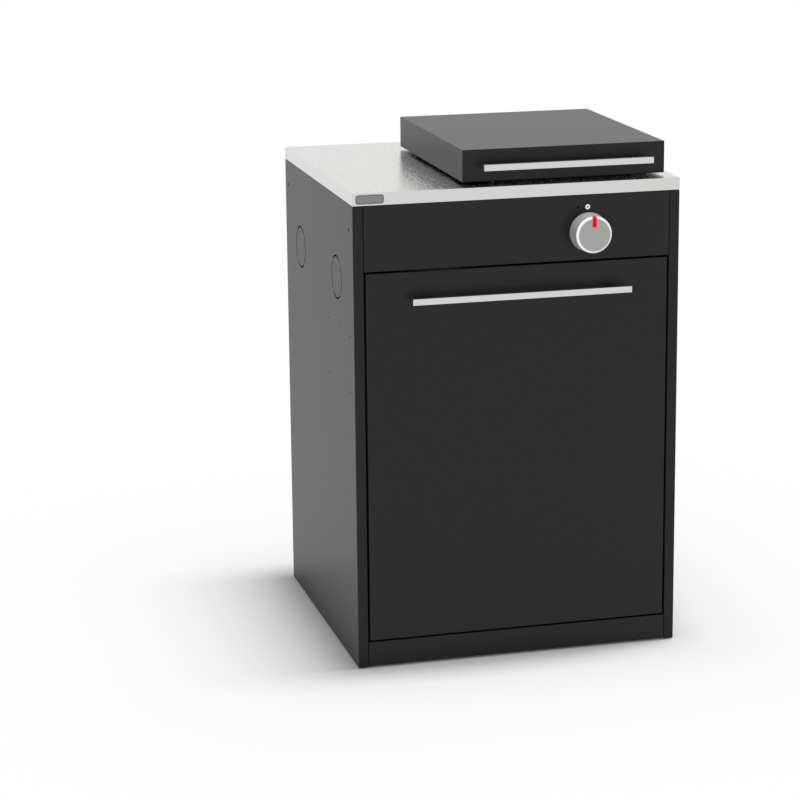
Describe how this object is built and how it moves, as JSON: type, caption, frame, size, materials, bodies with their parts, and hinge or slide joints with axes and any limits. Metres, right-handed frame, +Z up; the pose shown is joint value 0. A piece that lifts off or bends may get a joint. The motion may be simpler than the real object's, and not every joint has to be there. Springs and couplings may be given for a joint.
{
  "type": "outdoor kitchen island",
  "caption": "Free-standing outdoor kitchen cabinet with a steel worktop, a lidded gas burner, a fascia gas knob and a full-height pull-out front for a gas bottle.",
  "frame": {"origin": "on the ground under the middle of the overall box", "axes": "+Z up, the front with the pull-out faces -Y, +X is to the right seen from the front"},
  "size_m": [0.64, 0.641, 0.99],
  "materials": {
    "black_coating": "black powder coating, fine satin",
    "worktop_steel": "stainless steel, brushed",
    "handle_steel": "stainless steel, satin",
    "zinc_plate": "zinc-plated steel",
    "badge": "dark anodised, blank",
    "tray_enamel": "gloss black enamel",
    "knob_grey": "silver-grey satin",
    "red_plastic": "red, smooth",
    "support_wire": "dull steel wire",
    "brass": "turned brass",
    "burner_casting": "dark cast",
    "rubber": "black, matt",
    "black_plastic": "black, matt",
    "ceramic": "white insulator"
  },
  "bodies": {
    "root": {"side_panel_left": "black_coating", "side_panel_right": "black_coating", "back_panel": "black_coating", "floor_panel": "black_coating", "plinth": "black_coating", "fascia_panel": "black_coating", "worktop": "worktop_steel", "hinge_base_left": "handle_steel", "hinge_base_right": "handle_steel", "front_rail": "zinc_plate", "rear_rail": "zinc_plate", "runner_bracket_left": "zinc_plate", "runner_bracket_right": "zinc_plate", "runner_outer_left": "zinc_plate", "runner_outer_right": "zinc_plate", "mixing_tube": "zinc_plate", "supply_pipe": "zinc_plate", "burner_pipe": "zinc_plate", "hinge_pin_left": "zinc_plate", "hinge_pin_right": "zinc_plate", "badge_plate": "badge", "hob_tray": "tray_enamel", "control_plate": "tray_enamel", "pot_support": "support_wire", "burner_cap": "brass", "front_valve": "brass", "hob_valve": "brass", "burner_body": "burner_casting", "foot_front_left": "rubber", "foot_front_right": "rubber", "foot_rear_left": "rubber", "foot_rear_right": "rubber", "igniter_housing": "black_plastic", "spark_electrode": "ceramic"},
    "pull_out": {"drawer_front": "black_coating", "drawer_liner": "black_coating", "drawer_handle_bar": "handle_steel", "drawer_handle_post_left": "handle_steel", "drawer_handle_post_right": "handle_steel", "side_frame_left": "zinc_plate", "side_frame_right": "zinc_plate", "bottle_tray": "zinc_plate", "runner_inner_left": "zinc_plate", "runner_inner_right": "zinc_plate"},
    "middle_runners": {"runner_middle_left": "zinc_plate", "runner_middle_right": "zinc_plate"},
    "lid": {"lid_shell": "black_coating", "lid_handle_bar": "handle_steel", "lid_handle_post_left": "handle_steel", "lid_handle_post_right": "handle_steel", "lid_buffer_left": "rubber", "lid_buffer_right": "rubber", "hinge_leaf_left": "handle_steel", "hinge_leaf_right": "handle_steel"},
    "front_tap_spindle": {"front_spindle": "zinc_plate"},
    "front_knob": {"front_knob": "knob_grey", "front_knob_pointer": "red_plastic"},
    "hob_tap_spindle": {"hob_spindle": "zinc_plate"},
    "hob_knob": {"hob_knob": "knob_grey"},
    "igniter_button": {"igniter_button": "red_plastic"}
  },
  "joints": [
    {"name": "pull_out_slide", "type": "slide", "parent": "root", "child": "pull_out", "axis": [0, -1, 0], "range_m": [0, 0.45]},
    {"name": "middle_runner_slide", "type": "slide", "parent": "root", "child": "middle_runners", "axis": [0, -1, 0], "range_m": [0, 0.225]},
    {"name": "lid_hinge", "type": "hinge", "parent": "root", "child": "lid", "pos_m": [0.1, 0.22945, 0.93], "axis": [-1, 0, 0], "range_deg": [0, 90]},
    {"name": "front_knob_push", "type": "slide", "parent": "root", "child": "front_tap_spindle", "axis": [0, 1, 0], "range_m": [0, 0.0025], "stiffness_N_per_m": 3000, "springref_m": -0.003},
    {"name": "front_knob_turn", "type": "hinge", "parent": "front_tap_spindle", "child": "front_knob", "pos_m": [0.1365, -0.27955, 0.8295], "axis": [0, -1, 0], "range_deg": [0, 210]},
    {"name": "hob_knob_push", "type": "slide", "parent": "root", "child": "hob_tap_spindle", "axis": [0, 0, -1], "range_m": [0, 0.0025], "stiffness_N_per_m": 3000, "springref_m": -0.003},
    {"name": "hob_knob_turn", "type": "hinge", "parent": "hob_tap_spindle", "child": "hob_knob", "pos_m": [0.141, -0.14955, 0.94], "axis": [0, 0, 1], "range_deg": [0, 210]},
    {"name": "igniter_press", "type": "slide", "parent": "root", "child": "igniter_button", "axis": [0, 0, -1], "range_m": [0, 0.004], "stiffness_N_per_m": 2000, "springref_m": -0.002}
  ],
  "couplings": [
    {"joint": "middle_runner_slide", "follows": "pull_out_slide", "ratio": 0.5}
  ]
}
